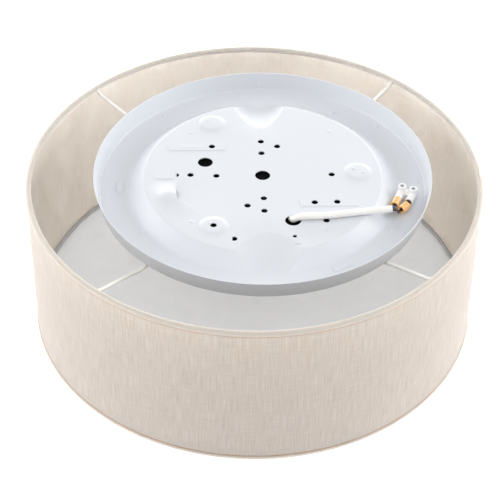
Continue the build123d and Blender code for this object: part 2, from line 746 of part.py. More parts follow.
with BuildPart() as fixing_tabs:
    with BuildSketch(Plane.XY.offset(tab_under_z + seat)):
        with PolarLocations(stud_circle, 3, start_angle=stud_angles[0]):
            Circle(tab_width / 2)
            Rectangle(inner_ring_inset + tab_overhang, tab_width, align=(Align.MIN, Align.CENTER))
            Circle(stud_diameter / 2 + plain_gap, mode=Mode.SUBTRACT)
    extrude(amount=tab_thickness - seat)
write(fixing_tabs, "fixing_tabs")

with BuildPart() as nut_washers:
    with BuildSketch(Plane.XY.offset(washer_top_z)):
        with PolarLocations(stud_circle, 3, start_angle=stud_angles[0]):
            Circle(washer_diameter / 2)
            Circle(stud_diameter / 2 + plain_gap, mode=Mode.SUBTRACT)
    extrude(amount=-washer_thickness)
write(nut_washers, "nut_washers")

for number, angle in enumerate(stud_angles, start=1):
    place = polar(stud_circle, angle)
    with BuildPart() as thumb_nut:
        with BuildSketch(Plane.XY.offset(nut_top_z)):
            with Locations(place):
                Circle(0.4 * nut_diameter)
        extrude(amount=-0.25 * nut_height)
        with BuildSketch(Plane.XY.offset(nut_top_z - 0.25 * nut_height)):
            with Locations(place):
                Circle(nut_diameter / 2)
                with PolarLocations(nut_diameter / 2, nut_notches):
                    Circle(0.05 * nut_diameter, mode=Mode.SUBTRACT)
        extrude(amount=-0.75 * nut_height)
        with BuildSketch(Plane.XY.offset(nut_top_z)):
            with Locations(place):
                Circle(stud_diameter / 2 + turning_gap)
        extrude(amount=-nut_height, mode=Mode.SUBTRACT)
    write(thumb_nut, f"thumb_nut_{number}")

# ---- diffuser -----------------------------------------------------------------------------
# An opal tray that lies loose on the bottom hem, inside the drum.

diffuser_radius = liner_radius - liner - 4 * rest_gap
diffuser_z = bottom_hoop_z + roll_radius + rest_gap
with BuildPart() as diffuser:
    with BuildSketch(shade_middle):
        with BuildLine():
            FilletPolyline(
                (0, diffuser_z), (diffuser_radius, diffuser_z), (diffuser_radius, diffuser_z + diffuser_rim),
                radius=diffuser_bend)
            Line(
                (diffuser_radius, diffuser_z + diffuser_rim),
                (diffuser_radius - diffuser_sheet, diffuser_z + diffuser_rim))
            Polyline(
                (diffuser_radius - diffuser_sheet, diffuser_z + diffuser_rim),
                (diffuser_radius - diffuser_sheet, diffuser_z + diffuser_sheet),
                (0, diffuser_z + diffuser_sheet), (0, diffuser_z))
        make_face()
    revolve(axis=shade_axis)
write(diffuser, "diffuser")
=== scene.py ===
from math import acos, cos, degrees, pi, radians, sin

import bmesh
import bpy
from mathutils import Matrix, Vector


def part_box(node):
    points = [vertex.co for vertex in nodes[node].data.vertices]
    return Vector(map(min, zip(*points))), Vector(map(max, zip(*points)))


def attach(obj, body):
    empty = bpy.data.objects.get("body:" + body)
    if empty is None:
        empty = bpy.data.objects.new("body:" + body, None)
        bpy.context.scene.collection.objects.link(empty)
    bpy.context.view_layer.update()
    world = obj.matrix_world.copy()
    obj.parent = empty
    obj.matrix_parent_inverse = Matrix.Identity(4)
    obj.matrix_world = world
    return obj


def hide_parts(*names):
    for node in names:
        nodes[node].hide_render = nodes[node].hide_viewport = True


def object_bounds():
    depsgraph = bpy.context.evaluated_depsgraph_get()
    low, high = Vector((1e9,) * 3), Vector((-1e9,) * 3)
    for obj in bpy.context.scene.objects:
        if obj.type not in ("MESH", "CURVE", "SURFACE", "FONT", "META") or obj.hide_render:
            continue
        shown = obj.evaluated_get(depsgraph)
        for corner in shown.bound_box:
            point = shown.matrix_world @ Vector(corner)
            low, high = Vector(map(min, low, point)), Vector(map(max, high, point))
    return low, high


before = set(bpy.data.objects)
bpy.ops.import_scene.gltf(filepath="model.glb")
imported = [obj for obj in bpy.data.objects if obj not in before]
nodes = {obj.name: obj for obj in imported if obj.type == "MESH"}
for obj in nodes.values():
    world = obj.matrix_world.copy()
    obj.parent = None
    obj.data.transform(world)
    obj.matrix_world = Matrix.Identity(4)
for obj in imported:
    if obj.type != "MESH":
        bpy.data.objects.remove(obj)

cad_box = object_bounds()

# ---- view ---------------------------------------------------------------------------------
# A studio table: the light stands on its diffuser's side on a glowing pale floor, between low
# soft panels left, right and behind and a high one in front, seen from 41 degrees up.

bpy.context.scene.view_settings.view_transform = "Standard"

camera = bpy.data.objects.new("camera", bpy.data.cameras.new("camera"))
bpy.context.collection.objects.link(camera)
# lens, place and turns were fitted to the two edges of the drum and the rim of the pan
camera.data.lens = 123.7
camera.data.sensor_width = 36
camera_place = Vector((-0.0488, -1.1175, 0.8936))
camera_turn, camera_rise, camera_roll = radians(-2.0), radians(41.12), radians(-0.68)
camera.matrix_world = (
    Matrix.Translation(camera_place)
    @ Matrix.Rotation(camera_turn, 4, "Z")
    @ Matrix.Rotation(pi / 2 - camera_rise, 4, "X")
    @ Matrix.Rotation(-camera_roll, 4, "Z")
)
bpy.context.scene.camera = camera


def colour(hex_code):
    """An sRGB colour such as 'f0e8d8' as linear red, green, blue and alpha."""
    parts = [int(hex_code[i:i + 2], 16) / 255 for i in (0, 2, 4)]
    return [c / 12.92 if c <= 0.04045 else ((c + 0.055) / 1.055) ** 2.4 for c in parts] + [1.0]


def add_node(tree, kind, settings=None, **inputs):
    """Adds a node with its settings and inputs. An input is a value or a socket, and goes by its
    name, with '_' for a space, or by its number, as in0 or in1."""
    node = tree.nodes.new(kind)
    for key, value in (settings or {}).items():
        setattr(node, key, value)
    for key, value in inputs.items():
        numbered = key.startswith("in") and key[2:].isdigit()
        socket = node.inputs[int(key[2:]) if numbered else key.replace("_", " ")]
        if isinstance(value, bpy.types.NodeSocket):
            tree.links.new(value, socket)
        else:
            socket.default_value = value
    return node


def new_material(name, hex_code, roughness):
    """A material with its Principled shader, ready for a pattern, and its node tree."""
    material = bpy.data.materials.new(name)
    material.use_nodes = True
    material.node_tree.nodes.clear()
    shader = add_node(material.node_tree, "ShaderNodeBsdfPrincipled")
    shader.inputs["Base Color"].default_value = colour(hex_code)
    shader.inputs["Roughness"].default_value = roughness
    add_node(material.node_tree, "ShaderNodeOutputMaterial", Surface=shader.outputs["BSDF"])
    return material, material.node_tree, shader


def light_panel(name, place, size, watts):
    """A soft rectangular panel that faces the object."""
    lamp = bpy.data.lights.new(name, "AREA")
    lamp.shape = "RECTANGLE"
    lamp.size, lamp.size_y = size
    lamp.energy = watts
    panel = bpy.data.objects.new(name, lamp)
    bpy.context.collection.objects.link(panel)
    panel.location = place
    panel.rotation_euler = (-Vector(place)).to_track_quat("-Z", "Y").to_euler()


light_panel("panel_left", place=(-1.6, 0.3, 0.5), size=(1.2, 1.0), watts=16)
light_panel("panel_right", place=(1.6, 0.3, 0.5), size=(1.2, 1.0), watts=19)
light_panel("panel_back", place=(0.0, 1.7, 0.3), size=(2.6, 0.6), watts=21)
light_panel("panel_front", place=(0.0, -1.25, 1.65), size=(1.8, 1.0), watts=15)
world = bpy.data.worlds.new("studio")
bpy.context.scene.world = world
world.use_nodes = True
world.node_tree.nodes["Background"].inputs["Color"].default_value = colour("ffffff")
world.node_tree.nodes["Background"].inputs["Strength"].default_value = 0.6

floor_z = cad_box[0].z
floor_half = 6.0             # half of the floor's side, so that its edge is out of view
floor = bpy.data.objects.new("floor", bpy.data.meshes.new("floor"))
floor.data.from_pydata(
    [(-floor_half, -floor_half, floor_z), (floor_half, -floor_half, floor_z),
     (floor_half, floor_half, floor_z), (-floor_half, floor_half, floor_z)], [], [(0, 1, 2, 3)])
bpy.context.collection.objects.link(floor)
# matt paint that also glows, so that the floor is as white as the background
floor_paint, tree, shader = new_material("pale_floor", "7c7c7c", roughness=0.9)
shader.inputs["Emission Color"].default_value = colour("ffffff")
shader.inputs["Emission Strength"].default_value = 1.0
floor.data.materials.append(floor_paint)

# ---- ceiling pan --------------------------------------------------------------------------
# One pressing of 0.8 mm steel sheet, punched, pressed and then powder coated satin white. Its
# coat is a little cool beside the cloth, and rounds every pressed edge.


def mark_creases(mesh, crease):
    """Merges a mesh's doubles and shades it smooth up to edges that turn by more than the crease."""
    body = bmesh.new()
    body.from_mesh(mesh)
    bmesh.ops.remove_doubles(body, verts=body.verts, dist=1e-6)
    for face in body.faces:
        face.smooth = True
    for edge in body.edges:
        edge.smooth = edge.is_manifold and edge.calc_face_angle(0) < radians(crease)
    body.to_mesh(mesh)
    body.free()


def smooth_copy(node_name, piece_name, material, crease=35):
    """A merged copy of a CAD solid, shaded smooth up to its real creases, that stands for it."""
    mesh = nodes[node_name].data.copy()
    mark_creases(mesh, crease)
    mesh.materials.clear()
    mesh.materials.append(material)
    piece = bpy.data.objects.new(piece_name, mesh)
    bpy.context.collection.objects.link(piece)
    return piece


def stands_for(piece, node_name, body):
    """The piece moves with its CAD body, and replaces the node, which is hidden."""
    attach(piece, body)
    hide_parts(node_name)


powder_coat, tree, shader = new_material("steel_powder_coated_white", "d5d8dd", roughness=0.4)
orange_peel = 650.0          # bumps to the metre, about 1.5 mm apart
place = add_node(tree, "ShaderNodeTexCoord")
peel = add_node(tree, "ShaderNodeTexNoise", Vector=place.outputs["Object"], Scale=orange_peel, Detail=1.0)
peel_bump = add_node(tree, "ShaderNodeBump", Strength=0.06, Distance=0.0002, Height=peel.outputs["Fac"])
tree.links.new(peel_bump.outputs["Normal"], shader.inputs["Normal"])
pan = smooth_copy("ceiling_pan", "pressed_pan", powder_coat)
stands_for(pan, "ceiling_pan", "ceiling_base")

# ---- supply cable -------------------------------------------------------------------------
# A round two core lamp cable, 5.6 mm over its white PVC sheath. It comes up through the cable
# hole from the block on the LED board, and lies across the pan to its terminal block.

cable_route = [
    (0.0205, -0.03765, -0.0044), (0.0205, -0.0552, -0.0044), (0.0275, -0.0578, 0.0036),
    (0.0456, -0.0573, 0.0030), (0.0615, -0.0551, 0.0030), (0.0742, -0.0530, 0.0030),
    (0.08942, -0.05111, 0.0030), (0.10338, -0.04898, 0.0030),
]
cable_diameter = 0.0056


def cord_curve(name, points, diameter, material):
    """A round cord on a smooth spline whose control points are the route."""
    curve = bpy.data.curves.new(name, "CURVE")
    curve.dimensions = "3D"
    curve.bevel_depth = diameter / 2
    curve.bevel_resolution = 6
    curve.resolution_u = 16
    curve.use_fill_caps = True
    spline = curve.splines.new("NURBS")
    spline.points.add(len(points) - 1)
    for control, point in zip(spline.points, points):
        control.co = (*point, 1.0)
    spline.order_u = 3
    spline.use_endpoint_u = True
    curve.materials.append(material)
    cord = bpy.data.objects.new(name, curve)
    bpy.context.collection.objects.link(cord)
    return cord


def grain(tree, shader, size, strength, depth=0.0001):
    """The fine relief of a moulded, drawn or coated surface, with grains of a size in metres."""
    place = add_node(tree, "ShaderNodeTexCoord")
    noise = add_node(tree, "ShaderNodeTexNoise", Vector=place.outputs["Object"], Scale=1 / size,
                     Detail=2.0)
    relief = add_node(tree, "ShaderNodeBump", Strength=strength, Distance=depth,
                      Height=noise.outputs["Fac"])
    tree.links.new(relief.outputs["Normal"], shader.inputs["Normal"])
    return noise


def tinted(tree, shader, noise, dark, light):
    """Base colour that wanders between two close colours with the grain."""
    # the noise seldom leaves 0.35 to 0.65
    spread = add_node(tree, "ShaderNodeMapRange", Value=noise.outputs["Fac"], From_Min=0.35, From_Max=0.65)
    paint = add_node(tree, "ShaderNodeMix", {"data_type": "RGBA"}, Factor=spread.outputs[0],
                     in6=colour(dark), in7=colour(light))
    tree.links.new(paint.outputs[2], shader.inputs["Base Color"])


# extruded PVC: satin, with soft waves 4 mm long where it has been coiled and straightened
cable_sheath, tree, shader = new_material("pvc_sheath_extruded_white", "f1efeb", roughness=0.38)
tinted(tree, shader, grain(tree, shader, size=0.004, strength=0.05, depth=0.0002), "edebe7", "f3f1ee")
mains_cable = cord_curve("supply_cable", cable_route, cable_diameter, cable_sheath)
stands_for(mains_cable, "mains_cable", "ceiling_base")

# ---- cores --------------------------------------------------------------------------------
# The cable's two PVC insulated cores, 2.2 mm thick. They leave the stripped sheath side by
# side and bend down through the amber collars into the clamps.

blue_route = [
    (0.10323, -0.04769, 0.0030), (0.10659, -0.04717, 0.0030), (0.10758, -0.04282, -0.0034),
    (0.10588, -0.03692, -0.0064), (0.11227, -0.02214, -0.0064),
]
brown_route = [
    (0.10363, -0.05026, 0.0030), (0.10738, -0.04969, 0.0030), (0.10936, -0.04578, -0.0038),
    (0.11028, -0.04136, -0.0064), (0.11790, -0.03329, -0.0064), (0.12108, -0.02595, -0.0064),
]
core_diameter = 0.0022
# the same PVC as the sheath, in deep blue and in brown
blue_pvc, tree, shader = new_material("pvc_core_extruded_blue", "1d2f66", roughness=0.35)
tinted(tree, shader, grain(tree, shader, size=0.0015, strength=0.2), "182755", "23387a")
brown_pvc, tree, shader = new_material("pvc_core_extruded_brown", "2e2019", roughness=0.35)
tinted(tree, shader, grain(tree, shader, size=0.0015, strength=0.2), "291b14", "38271e")
blue_core = cord_curve("neutral_core", blue_route, core_diameter, blue_pvc)
stands_for(blue_core, "blue_core", "ceiling_base")
brown_core = cord_curve("live_core", brown_route, core_diameter, brown_pvc)
stands_for(brown_core, "brown_core", "ceiling_base")

# ---- terminal block -----------------------------------------------------------------------
# A two pole screw terminal moulded in white nylon, with amber entry collars that guide the
# cores, plated brass clamps inside and a zinc plated screw down each tower.

# moulded nylon: a satin white that is faintly uneven where it cooled
white_nylon, tree, shader = new_material("nylon_moulded_white", "f0efee", roughness=0.35)
tinted(tree, shader, grain(tree, shader, size=0.0008, strength=0.15), "e9e8e6", "f4f3f2")
block = smooth_copy("terminal_body", "terminal_housing", white_nylon)
stands_for(block, "terminal_body", "ceiling_base")
# moulded polycarbonate: glossy amber, yellower where it is thin
amber, tree, shader = new_material("polycarbonate_moulded_amber", "f2bd74", roughness=0.25)
shader.inputs["Coat Weight"].default_value = 0.4
shader.inputs["Subsurface Weight"].default_value = 0.3
shader.inputs["Subsurface Scale"].default_value = 0.001
tinted(tree, shader, grain(tree, shader, size=0.002, strength=0.1), "ecb062", "f9cd8a")
collars = smooth_copy("wire_entries", "entry_collars", amber)
stands_for(collars, "wire_entries", "ceiling_base")
# nickel plated brass: bright, a little yellow, finely mottled
plated_brass, tree, shader = new_material("brass_nickel_plated", "cfc7b4", roughness=0.3)
shader.inputs["Metallic"].default_value = 1.0
tinted(tree, shader, grain(tree, shader, size=0.0004, strength=0.2), "c5bca6", "d8d1c1")
clamps = smooth_copy("terminal_inserts", "terminal_clamps", plated_brass)
stands_for(clamps, "terminal_inserts", "ceiling_base")
# bright zinc plating: bluish, cloudy over about a millimetre
bright_zinc, tree, shader = new_material("steel_zinc_plated", "c3c8cd", roughness=0.32)
shader.inputs["Metallic"].default_value = 1.0
tinted(tree, shader, grain(tree, shader, size=0.001, strength=0.15), "b6bcc3", "d2d6da")
for number in (1, 2):
    screw = smooth_copy(f"terminal_screw_{number}", f"clamp_screw_{number}", bright_zinc)
    stands_for(screw, f"terminal_screw_{number}", f"terminal_screw_{number}")

# ---- shade cloth --------------------------------------------------------------------------
# A slub linen weave, laminated to a stiff clear liner and rolled round a wire hoop at both
# edges. Upright threads of uneven thickness show most, and fainter ones run round the drum.

drum_low, drum_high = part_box("shade_fabric")
drum_radius = (drum_high.x - drum_low.x) / 2
drum_middle = (drum_high.x + drum_low.x) / 2
cloth_thickness = 0.0006
roll_radius = 0.00255        # outside of the rolled hem
hem_bulge = 0.00065          # hems stand proud of the cloth between them
top_roll_end = 157           # degrees round the hoop, where the top hem's cut edge lies
bottom_roll_end = -255       # the same for the bottom hem, which is rolled further
top_roll_steps, bottom_roll_steps, upright_rows = 20, 30, 14


def hem_section():
    """The cloth's closed section: how far outside the drum's radius it stands, and its height."""
    middle = roll_radius - cloth_thickness / 2
    turn = degrees(acos((middle - hem_bulge) / middle))
    top, bottom = drum_high.z - roll_radius, drum_low.z + roll_radius
    line = []
    for step in range(bottom_roll_steps + 1):
        angle = radians(bottom_roll_end + (turn - bottom_roll_end) * step / bottom_roll_steps)
        line.append((middle * cos(angle), bottom + middle * sin(angle), angle))
    low_end, high_end = line[-1][1], top - middle * sin(radians(turn))
    for row in range(1, upright_rows):
        line.append((middle - hem_bulge, low_end + (high_end - low_end) * row / upright_rows, 0.0))
    for step in range(top_roll_steps + 1):
        angle = radians(-turn + (turn + top_roll_end) * step / top_roll_steps)
        line.append((middle * cos(angle), top + middle * sin(angle), angle))
    half = cloth_thickness / 2
    outside = [(x + half * cos(a) - roll_radius, z + half * sin(a)) for x, z, a in line]
    inside = [(x - half * cos(a) - roll_radius, z - half * sin(a)) for x, z, a in line]
    return outside + inside[::-1]


def interface_input(tree, name, kind, value=None):
    """A named input of a Geometry Nodes tree, with the value that it has if none is given."""
    socket = tree.interface.new_socket(name, in_out="INPUT", socket_type=kind)
    if value is not None:
        socket.default_value = value


def made_mesh(piece_name, base, tree, values):
    """Runs a Geometry Nodes tree on a base mesh, with its inputs set, and keeps the plain mesh."""
    holder = bpy.data.objects.new(piece_name + "_base", base)
    bpy.context.collection.objects.link(holder)
    modifier = holder.modifiers.new("nodes", "NODES")
    modifier.node_group = tree
    for item in tree.interface.items_tree:
        if item.item_type == "SOCKET" and item.in_out == "INPUT" and item.name in values:
            modifier[item.identifier] = values[item.name]
    bpy.context.view_layer.update()
    ready = holder.evaluated_get(bpy.context.evaluated_depsgraph_get())
    mesh = bpy.data.meshes.new_from_object(ready)
    mesh.name = piece_name
    holder.modifiers.remove(modifier)
    bpy.data.objects.remove(holder)
    piece = bpy.data.objects.new(piece_name, mesh)
    bpy.context.collection.objects.link(piece)
    return piece


thread_count = 1100.0        # drawn threads to the metre, 0.9 mm apart: the real 0.5 mm wouldn't show
warp_slubs, weft_slubs = 45.0, 60.0      # thick and thin places to the metre of a thread
weft_share = 0.35            # how much of the pattern the threads that run round the drum make
thread_contrast = 0.25       # range of the pattern's noise over which gap turns to thread
# glue and painted shade for the creases under the hems, and a painted highlight for the rolls
glue_and_painted_shade_brown, hem_highlight_cream = "ae8b74", "f1e0cf"


def linen(name, thread, gap, relief_between_hems, crease_depth):
    """Linen in the colours of its threads and gaps, on the drum's own round grid."""
    material, tree, shader = new_material(name, thread, roughness=0.85)
    place = add_node(tree, "ShaderNodeTexCoord")
    parts = add_node(tree, "ShaderNodeSeparateXYZ", Vector=place.outputs["Object"])
    # the grid starts and ends on the far side, where the strip's two ends meet
    across = add_node(tree, "ShaderNodeMath", {"operation": "SUBTRACT"},
                      in0=parts.outputs["X"], in1=drum_middle)
    back = add_node(tree, "ShaderNodeMath", {"operation": "MULTIPLY"}, in0=parts.outputs["Y"], in1=-1.0)
    angle = add_node(tree, "ShaderNodeMath", {"operation": "ARCTAN2"},
                     in0=across.outputs[0], in1=back.outputs[0])
    round_way = add_node(tree, "ShaderNodeMath", {"operation": "MULTIPLY"},
                         in0=angle.outputs[0], in1=drum_radius)
    grid = add_node(tree, "ShaderNodeCombineXYZ", X=round_way.outputs[0], Y=parts.outputs["Z"])
    threads = []
    for counts in ((thread_count, warp_slubs, 0.0), (weft_slubs, thread_count, 0.0)):
        counted = add_node(tree, "ShaderNodeVectorMath", {"operation": "MULTIPLY"},
                           in0=grid.outputs[0], in1=counts)
        threads.append(add_node(tree, "ShaderNodeTexNoise", Vector=counted.outputs[0], Scale=1.0,
                                Detail=2.0))
    both = add_node(tree, "ShaderNodeMix", {"data_type": "FLOAT"}, Factor=weft_share,
                    in2=threads[0].outputs["Fac"], in3=threads[1].outputs["Fac"])
    spread = add_node(tree, "ShaderNodeMapRange", Value=both.outputs[0],
                      From_Min=0.5 - thread_contrast, From_Max=0.5 + thread_contrast)
    paint = add_node(tree, "ShaderNodeMix", {"data_type": "RGBA"}, Factor=spread.outputs[0],
                     in6=colour(gap), in7=colour(thread))
    # height over the crease under the nearer hem
    off_middle = add_node(tree, "ShaderNodeMath", {"operation": "SUBTRACT"},
                          in0=parts.outputs["Z"], in1=(drum_high.z + drum_low.z) / 2)
    reach = add_node(tree, "ShaderNodeMath", {"operation": "ABSOLUTE"}, in0=off_middle.outputs[0])
    over_crease = add_node(tree, "ShaderNodeMath", {"operation": "SUBTRACT"},
                           in0=reach.outputs[0], in1=(drum_high.z - drum_low.z) / 2 - crease_depth)
    # the rolls are double cloth, and are painted paler than the cloth between them, a painted highlight all
    # round each roll
    roll_highlight = add_node(tree, "ShaderNodeMapRange", Value=over_crease.outputs[0],
                       From_Min=0.0, From_Max=0.0008, To_Min=0.0, To_Max=0.5)
    hemmed = add_node(tree, "ShaderNodeMix", {"data_type": "RGBA"}, Factor=roll_highlight.outputs[0],
                      in6=paint.outputs[2], in7=colour(hem_highlight_cream))
    # painted shade in the crease, together with the glue that it holds, shows as a warm line about 1.5 mm
    # wide
    distance = add_node(tree, "ShaderNodeMath", {"operation": "ABSOLUTE"}, in0=over_crease.outputs[0])
    line = add_node(tree, "ShaderNodeMapRange", Value=distance.outputs[0],
                    From_Min=0.0004, From_Max=0.0011, To_Min=0.65, To_Max=0.0)
    creased = add_node(tree, "ShaderNodeMix", {"data_type": "RGBA"}, Factor=line.outputs[0],
                       in6=hemmed.outputs[2], in7=colour(glue_and_painted_shade_brown))
    tree.links.new(creased.outputs[2], shader.inputs["Base Color"])
    # threads stand up more on the rolls, where the cloth is bent hard
    rolled = add_node(tree, "ShaderNodeMapRange", Value=over_crease.outputs[0],
                      From_Min=0.0, From_Max=0.0008, To_Min=relief_between_hems, To_Max=0.8)
    relief = add_node(tree, "ShaderNodeBump", Strength=rolled.outputs[0], Distance=0.0004,
                      Height=both.outputs[0])
    tree.links.new(relief.outputs["Normal"], shader.inputs["Normal"])
    # thin enough that some light comes through it into the drum
    shader.inputs["Subsurface Weight"].default_value = 1.0
    shader.inputs["Subsurface Scale"].default_value = 0.003
    shader.inputs["Subsurface Radius"].default_value = (1.0, 0.95, 0.9)
    return material


# the natural flax colour, with the crease where the cloth leaves the outside of the roll
linen_outside = linen("linen_woven_natural", thread="d0c5bc", gap="aea298", relief_between_hems=0.4,
                      crease_depth=2 * roll_radius - hem_bulge)
# the same linen painted lighter inside, painted light for the light that fills the drum; the film fills the
# weave from inside, so the cloth is smoother there
linen_inside_painted_lighter = linen("linen_woven_inside_painted_lighter", thread="e4dad1", gap="c6bbb0", relief_between_hems=0.2,
                     crease_depth=2 * roll_radius + 0.0005)

round_tree = bpy.data.node_groups.new("cloth_round_the_drum", "GeometryNodeTree")
interface_input(round_tree, "Section", "NodeSocketGeometry")
interface_input(round_tree, "Drum radius", "NodeSocketFloat", 0.19)
interface_input(round_tree, "Drum middle", "NodeSocketVector")
interface_input(round_tree, "Steps round", "NodeSocketInt", 360)
interface_input(round_tree, "Unevenness", "NodeSocketFloat", 0.0002)
interface_input(round_tree, "Cloth", "NodeSocketMaterial")
round_tree.interface.new_socket("Cloth mesh", in_out="OUTPUT", socket_type="NodeSocketGeometry")
given = add_node(round_tree, "NodeGroupInput").outputs
section = add_node(round_tree, "GeometryNodeMeshToCurve", Mesh=given["Section"])
hoop = add_node(round_tree, "GeometryNodeCurvePrimitiveCircle", Resolution=given["Steps round"],
                Radius=given["Drum radius"])
upright = add_node(round_tree, "GeometryNodeSetCurveNormal", Curve=hoop.outputs["Curve"])
swept = add_node(round_tree, "GeometryNodeCurveToMesh", Curve=upright.outputs["Curve"],
                 in1=section.outputs["Curve"])
# the hand rolled hems and the cloth waver a little, over about 20 mm
normal = add_node(round_tree, "GeometryNodeInputNormal")
waver = add_node(round_tree, "ShaderNodeTexNoise", Scale=50.0, Detail=2.0)
level = add_node(round_tree, "ShaderNodeMath", {"operation": "SUBTRACT"}, in0=waver.outputs["Fac"], in1=0.5)
reach = add_node(round_tree, "ShaderNodeMath", {"operation": "MULTIPLY"},
                 in0=level.outputs[0], in1=given["Unevenness"])
shift = add_node(round_tree, "ShaderNodeVectorMath", {"operation": "SCALE"},
                 in0=normal.outputs[0], Scale=reach.outputs[0])
uneven = add_node(round_tree, "GeometryNodeSetPosition", Geometry=swept.outputs["Mesh"],
                  Offset=shift.outputs[0])
outwards = add_node(round_tree, "GeometryNodeFlipFaces", Mesh=uneven.outputs["Geometry"])
placed = add_node(round_tree, "GeometryNodeTransform", Geometry=outwards.outputs["Mesh"],
                  Translation=given["Drum middle"])
real = add_node(round_tree, "GeometryNodeRealizeInstances", Geometry=placed.outputs["Geometry"])
dyed = add_node(round_tree, "GeometryNodeSetMaterial", Geometry=real.outputs["Geometry"],
                Material=given["Cloth"])
add_node(round_tree, "NodeGroupOutput", in0=dyed.outputs["Geometry"])

# the sweep turns a section's Y downwards
section_points = hem_section()
section_mesh = bpy.data.meshes.new("hem_section")
section_mesh.from_pydata(
    [(x, -z, 0.0) for x, z in section_points],
    [(i, (i + 1) % len(section_points)) for i in range(len(section_points))], [])
cloth = made_mesh("shade_cloth", section_mesh, round_tree, {
    "Drum radius": drum_radius, "Drum middle": (drum_middle, 0.0, 0.0), "Steps round": 360,
    "Unevenness": 0.0002, "Cloth": linen_outside})
mark_creases(cloth.data, crease=50)
cloth.data.materials.append(linen_inside_painted_lighter)
# the inward faces between the hems take the lighter copy with its painted light
for face in cloth.data.polygons:
    outward = Vector((face.center.x - drum_middle, face.center.y, 0.0)).normalized()
    between_hems = drum_low.z + 2 * roll_radius < face.center.z < drum_high.z - 2 * roll_radius
    faces_inwards = face.normal.dot(outward) < -0.9
    if between_hems and faces_inwards:
        face.material_index = 1
stands_for(cloth, "shade_fabric", "shade")
# calendered PVC film: clear, so the cloth shows through it, with a faint satin sheen
clear_film, tree, shader = new_material("pvc_film_calendered_clear", "f4f2ee", roughness=0.3)
shader.inputs["Alpha"].default_value = 0.12
tinted(tree, shader, grain(tree, shader, size=0.006, strength=0.1), "f0eeea", "f8f6f3")
liner = smooth_copy("shade_liner", "stiff_liner", clear_film)
stands_for(liner, "shade_liner", "shade")

# ---- frame of the shade -------------------------------------------------------------------
# Two hoops in the hems, an inner ring, and four bent spokes from the top hoop to the ring, all of
# steel wire with a white dipped coat. Three steel tabs on the inner ring take the studs.

# dipped epoxy: thick and soft at the bends, so the gloss wavers over about 3 mm
coated_wire, tree, shader = new_material("steel_wire_epoxy_coated_white", "f9f7f3", roughness=0.35)
tinted(tree, shader, grain(tree, shader, size=0.003, strength=0.3, depth=0.0002), "f4f2ed", "fbf9f6")
for node_name, piece_name in (
        ("top_ring", "top_hoop"), ("bottom_ring", "bottom_hoop"), ("inner_ring", "inner_hoop"),
        ("spider_spokes", "bent_spokes"), ("fixing_tabs", "stud_tabs")):
    wire = smooth_copy(node_name, piece_name, coated_wire)
    stands_for(wire, node_name, "shade")

# ---- studs, washers and thumb nuts --------------------------------------------------------
# Three zinc plated M4 studs welded in the gutter, with plain washers and knurled plastic nuts.
# They hold the frame's tabs up under the pan.

# rolled threads 0.7 mm apart: the wave makes a band every 0.314 of a unit at a scale of 1
thread_waves = 449.0
threaded_zinc, tree, shader = new_material("steel_thread_rolled_zinc_plated", "c3c8cd", roughness=0.34)
shader.inputs["Metallic"].default_value = 1.0
place = add_node(tree, "ShaderNodeTexCoord")
thread = add_node(tree, "ShaderNodeTexWave", {"bands_direction": "Z"}, Vector=place.outputs["Object"],
                  Scale=thread_waves)
groove = add_node(tree, "ShaderNodeBump", Strength=0.8, Distance=0.0003, Height=thread.outputs["Fac"])
tree.links.new(groove.outputs["Normal"], shader.inputs["Normal"])
studs = smooth_copy("fixing_studs", "welded_studs", threaded_zinc)
stands_for(studs, "fixing_studs", "ceiling_base")
washers = smooth_copy("nut_washers", "plain_washers", bright_zinc)
stands_for(washers, "nut_washers", "shade")
# moulded ABS: satin white, with a fine grain from the mould
white_abs, tree, shader = new_material("abs_moulded_white", "eeedeb", roughness=0.4)
tinted(tree, shader, grain(tree, shader, size=0.0006, strength=0.2), "e8e7e5", "f2f1ef")
for number in (1, 2, 3):
    nut = smooth_copy(f"thumb_nut_{number}", f"knurled_nut_{number}", white_abs)
    stands_for(nut, f"thumb_nut_{number}", f"thumb_nut_{number}")

# ---- LED board ----------------------------------------------------------------------------
# A round aluminium core board with a white solder mask in front. Its back is painted near black, painted
# shade for the dark gap between the board and the pan.
# Two rings of 2835 LEDs are soldered on it, and it hangs on four standoffs under the pan.

board_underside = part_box("led_board")[0].z
# painted shade: a dull near black on the board's back and edges, faintly cloudy over about 2 mm, so the
# pan's holes look dark
board_back_painted_shade, tree, shader = new_material("aluminium_back_painted_shade_black", "17181a", roughness=0.55)
tinted(tree, shader, grain(tree, shader, size=0.002, strength=0.1), "131416", "1e2022")
solder_mask, tree, shader = new_material("solder_mask_printed_white", "ecece8", roughness=0.4)
tinted(tree, shader, grain(tree, shader, size=0.005, strength=0.1), "e8e8e3", "f0f0ed")
board = smooth_copy("led_board", "round_board", board_back_painted_shade)
board.data.materials.append(solder_mask)
# the face towards the diffuser takes the solder mask, and every other face the painted shade
for face in board.data.polygons:
    faces_diffuser = face.normal.z < -0.9
    face.material_index = 1 if faces_diffuser else 0
stands_for(board, "led_board", "ceiling_base")
standoffs = smooth_copy("led_standoffs", "riveted_standoffs", bright_zinc)
stands_for(standoffs, "led_standoffs", "ceiling_base")


